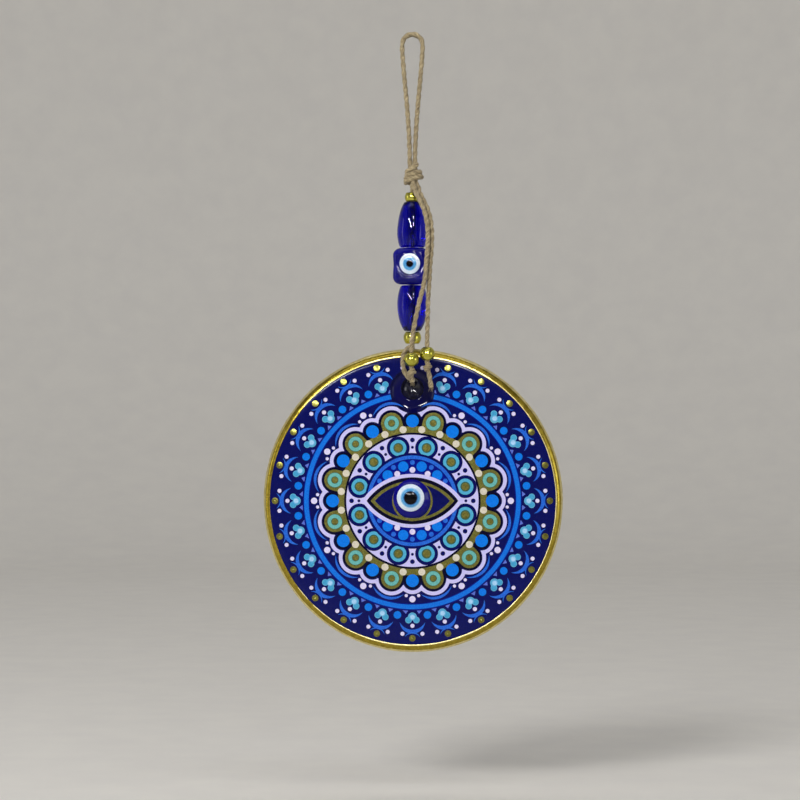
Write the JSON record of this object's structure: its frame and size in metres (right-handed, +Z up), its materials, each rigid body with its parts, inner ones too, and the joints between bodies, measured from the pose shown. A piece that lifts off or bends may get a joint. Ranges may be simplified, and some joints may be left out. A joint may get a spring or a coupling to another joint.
{
  "type": "evil eye wall ornament",
  "caption": "Round gilded glass disc with a printed mandala and raised glass eye, hung on a knotted hemp cord with blue glass beads, gilt beads and beaded tails.",
  "frame": {"origin": "the point where a nail bears, under the crown of the hanging loop", "axes": "+Z up along the hanging cord, +X to the right, -Y out of the printed front of the disc"},
  "size_m": [0.12, 0.0237, 0.2452],
  "materials": {
    "hemp": "matte",
    "gilt_brass": "polished",
    "gilding": "satin",
    "cobalt_glass": "polished",
    "print_ink": "gloss",
    "eye_white": "gloss",
    "eye_blue": "gloss",
    "eye_black": "gloss"
  },
  "bodies": {
    "hanger": {"hanging_loop_front": "hemp", "hanging_loop_rear": "hemp"},
    "knot": {"main_knot": "hemp"},
    "strand": {"core_cord_front": "hemp", "core_cord_rear": "hemp"},
    "upper_gold": {"upper_gold_bead": "gilt_brass"},
    "upper_oval": {"upper_oval_bead": "cobalt_glass"},
    "cube": {"cube_bead": "cobalt_glass", "cube_front_white": "eye_white", "cube_front_iris": "eye_blue", "cube_front_pupil": "eye_black", "cube_right_white": "eye_white", "cube_right_iris": "eye_blue", "cube_right_pupil": "eye_black", "cube_back_white": "eye_white", "cube_back_iris": "eye_blue", "cube_back_pupil": "eye_black", "cube_left_white": "eye_white", "cube_left_iris": "eye_blue", "cube_left_pupil": "eye_black"},
    "lower_oval": {"lower_oval_bead": "cobalt_glass"},
    "lower_gold": {"lower_gold_bead": "gilt_brass"},
    "loop": {"disc_loop": "hemp"},
    "disc": {"glass_disc": "cobalt_glass", "gilded_rim": "gilding", "printed_face": "print_ink", "centre_eye_glass": "cobalt_glass", "centre_eye_white": "eye_white", "centre_eye_iris": "eye_blue", "centre_eye_pupil": "eye_black"},
    "tails": {"left_tail_upper": "hemp", "right_tail_upper": "hemp"},
    "left_tail": {"left_tail_cord": "hemp", "left_stopper_knot": "hemp", "left_tail_tip": "hemp"},
    "left_bead": {"left_end_bead": "gilt_brass"},
    "right_tail": {"right_tail_cord": "hemp", "right_stopper_knot": "hemp", "right_tail_tip": "hemp"},
    "right_bead": {"right_end_bead": "gilt_brass"}
  },
  "joints": [
    {"name": "ornament_twist", "type": "hinge", "parent": "hanger", "child": "knot", "pos_m": [0, 0, -0.05], "axis": [0, 0, 1], "range_deg": [-90, 90]},
    {"name": "strand_sway", "type": "hinge", "parent": "knot", "child": "strand", "pos_m": [0, 0, -0.0596], "axis": [0, 1, 0], "range_deg": [-15, 20]},
    {"name": "upper_gold_spin", "type": "hinge", "parent": "strand", "child": "upper_gold", "pos_m": [0, 0, -0.0636], "axis": [0, 0, 1], "continuous": true},
    {"name": "upper_oval_spin", "type": "hinge", "parent": "strand", "child": "upper_oval", "pos_m": [0, 0, -0.07459], "axis": [0, 0, 1], "continuous": true},
    {"name": "cube_spin", "type": "hinge", "parent": "strand", "child": "cube", "pos_m": [0, 0, -0.09109], "axis": [0, 0, 1], "continuous": true},
    {"name": "lower_oval_spin", "type": "hinge", "parent": "strand", "child": "lower_oval", "pos_m": [0, 0, -0.10759], "axis": [0, 0, 1], "continuous": true},
    {"name": "lower_gold_spin", "type": "hinge", "parent": "strand", "child": "lower_gold", "pos_m": [0, 0, -0.11923], "axis": [0, 0, 1], "continuous": true},
    {"name": "disc_pitch", "type": "hinge", "parent": "strand", "child": "loop", "pos_m": [0, 0, -0.12217], "axis": [-1, 0, 0], "range_deg": [-10, 8]},
    {"name": "disc_sway", "type": "hinge", "parent": "loop", "child": "disc", "pos_m": [0, 0, -0.13597], "axis": [0, 1, 0], "range_deg": [-15, 15]},
    {"name": "tails_sway", "type": "hinge", "parent": "knot", "child": "tails", "pos_m": [0.0016, -0.0026, -0.0597], "axis": [0, -1, 0], "range_deg": [-8, 15]},
    {"name": "left_tail_pitch", "type": "hinge", "parent": "tails", "child": "left_tail", "pos_m": [0.0044, -0.0122, -0.09859], "axis": [-1, 0, 0], "range_deg": [0, 60]},
    {"name": "right_tail_pitch", "type": "hinge", "parent": "tails", "child": "right_tail", "pos_m": [0.0065, -0.0108, -0.09859], "axis": [-1, 0, 0], "range_deg": [0, 60]},
    {"name": "left_end_bead_spin", "type": "hinge", "parent": "left_tail", "child": "left_bead", "pos_m": [-0.0004, -0.0117, -0.1281], "axis": [0, 0, 1], "continuous": true},
    {"name": "right_end_bead_spin", "type": "hinge", "parent": "right_tail", "child": "right_bead", "pos_m": [0.00575, -0.0103, -0.1258], "axis": [0, 0, 1], "continuous": true}
  ]
}
